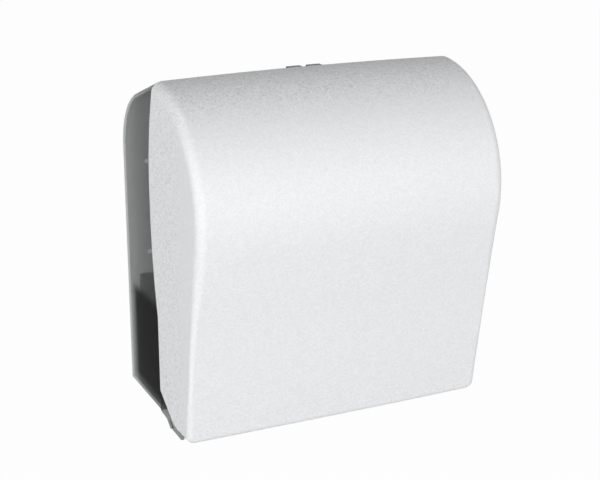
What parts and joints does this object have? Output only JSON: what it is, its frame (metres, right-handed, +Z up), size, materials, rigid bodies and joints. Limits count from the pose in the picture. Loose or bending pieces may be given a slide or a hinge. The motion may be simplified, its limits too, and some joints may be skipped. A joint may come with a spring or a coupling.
{
  "type": "roll paper towel dispenser",
  "caption": "Wall-mounted roll towel dispenser with a bulged front cover, smoked rear body, top latch buttons, self-cutting drum and a small feed lever.",
  "frame": {"origin": "centre of the four wall screws, on the wall face", "axes": "+X to the right seen from the front, +Y into the wall, +Z up"},
  "size_m": [0.33, 0.2235, 0.3603],
  "materials": {
    "white_cover": "off-white moulded shell with a very fine pale sparkle under a satin gloss",
    "white_inner": "plain off-white moulding",
    "smoked_body": "smoked grey, slightly see-through, polished",
    "black_plastic": "black moulding with a light grain",
    "grey_plastic": "mid grey moulding",
    "acetal": "natural acetal, slightly waxy",
    "rubber": "soft black rubber",
    "steel": "bright drawn steel",
    "zinc": "zinc plated"
  },
  "bodies": {
    "housing": {"rear_body": "smoked_body", "base_tray": "smoked_body", "tray_screws": "zinc", "hinge_pins": "steel", "side_plate_right": "black_plastic", "side_plate_left": "black_plastic", "chassis_screws": "zinc", "tie_rods": "steel", "tie_nuts": "zinc", "drum_bushes": "acetal", "gear_housing_left": "black_plastic", "gear_housing_right": "black_plastic", "front_guide": "grey_plastic", "outlet_chute": "grey_plastic", "return_spring": "steel", "spring_post": "steel", "check_pin": "steel", "pinch_shaft": "steel", "arm_bracket_right": "black_plastic", "arm_bracket_left": "black_plastic", "bracket_screws": "zinc", "arm_pins": "steel", "latch_housing": "black_plastic", "latch_spring": "steel"},
    "cover": {"cover_shell": "white_cover", "hinge_bushes": "acetal", "cover_catch": "white_inner"},
    "latch": {"latch_release": "black_plastic"},
    "drum": {"drum_shell": "grey_plastic", "drum_ends": "black_plastic", "grip_bands": "rubber", "drum_shaft": "steel", "ratchet_wheel": "acetal", "thumb_wheel": "grey_plastic", "crank_disc": "acetal", "crank_pin": "steel"},
    "knife": {"knife_carrier": "black_plastic", "knife_blade": "steel"},
    "lever": {"feed_lever": "black_plastic"},
    "feed_pawl": {"feed_pawl": "acetal"},
    "check_pawl": {"check_pawl": "acetal"},
    "pinch_arm": {"pinch_arm": "black_plastic"},
    "pinch_roller": {"pinch_roller": "rubber", "roller_core": "steel"},
    "arm_right": {"roll_arm_right": "black_plastic", "hub_clip_right": "zinc"},
    "arm_left": {"roll_arm_left": "black_plastic", "hub_clip_left": "zinc"},
    "hub_right": {"hub_right": "acetal"},
    "hub_left": {"hub_left": "acetal"}
  },
  "joints": [
    {"name": "cover_hinge", "type": "hinge", "parent": "housing", "child": "cover", "pos_m": [0, -0.146, -0.185], "axis": [1, 0, 0], "range_deg": [0, 100]},
    {"name": "latch_press", "type": "slide", "parent": "housing", "child": "latch", "axis": [0, 0, -1], "range_m": [0, 0.0027], "stiffness_N_per_m": 900, "springref_m": -0.001, "deforming": ["latch_spring"]},
    {"name": "drum_spin", "type": "hinge", "parent": "housing", "child": "drum", "pos_m": [0, -0.112, -0.115], "axis": [1, 0, 0], "continuous": true, "deforming": ["return_spring"]},
    {"name": "knife_swing", "type": "hinge", "parent": "drum", "child": "knife", "pos_m": [0, -0.08732, -0.11586], "axis": [1, 0, 0], "range_deg": [0, 25], "stiffness_Nm_per_rad": 0.05, "springref_deg": -11.46},
    {"name": "lever_swing", "type": "hinge", "parent": "housing", "child": "lever", "pos_m": [0.119, -0.112, -0.115], "axis": [1, 0, 0], "range_deg": [0, 25], "stiffness_Nm_per_rad": 0.05, "springref_deg": -17.19},
    {"name": "feed_pawl_turn", "type": "hinge", "parent": "lever", "child": "feed_pawl", "pos_m": [0.124, -0.0975, -0.08989], "axis": [-1, 0, 0], "range_deg": [0, 10], "stiffness_Nm_per_rad": 0.005, "springref_deg": -17.19},
    {"name": "check_pawl_turn", "type": "hinge", "parent": "housing", "child": "check_pawl", "pos_m": [0.124, -0.10208, -0.14225], "axis": [-1, 0, 0], "range_deg": [0, 10], "stiffness_Nm_per_rad": 0.005, "springref_deg": -17.19},
    {"name": "pinch_arm_lift", "type": "hinge", "parent": "housing", "child": "pinch_arm", "pos_m": [0, -0.06098, -0.09792], "axis": [-1, 0, 0], "range_deg": [0, 8], "stiffness_Nm_per_rad": 0.8, "springref_deg": -11.46},
    {"name": "pinch_roller_spin", "type": "hinge", "parent": "pinch_arm", "child": "pinch_roller", "pos_m": [0, -0.07795, -0.08095], "axis": [1, 0, 0], "continuous": true},
    {"name": "arm_right_swing", "type": "hinge", "parent": "housing", "child": "arm_right", "pos_m": [0.122, -0.015, 0.037], "axis": [0, 0, 1], "range_deg": [0, 8], "stiffness_Nm_per_rad": 1, "springref_deg": -5.73},
    {"name": "arm_left_swing", "type": "hinge", "parent": "housing", "child": "arm_left", "pos_m": [-0.122, -0.015, 0.037], "axis": [0, 0, -1], "range_deg": [0, 8], "stiffness_Nm_per_rad": 1, "springref_deg": -5.73},
    {"name": "hub_right_spin", "type": "hinge", "parent": "arm_right", "child": "hub_right", "pos_m": [0.11, -0.102, 0.037], "axis": [1, 0, 0], "continuous": true},
    {"name": "hub_left_spin", "type": "hinge", "parent": "arm_left", "child": "hub_left", "pos_m": [-0.11, -0.102, 0.037], "axis": [1, 0, 0], "continuous": true}
  ],
  "couplings": [
    {"joint": "pinch_roller_spin", "follows": "drum_spin", "ratio": -4.3111}
  ]
}
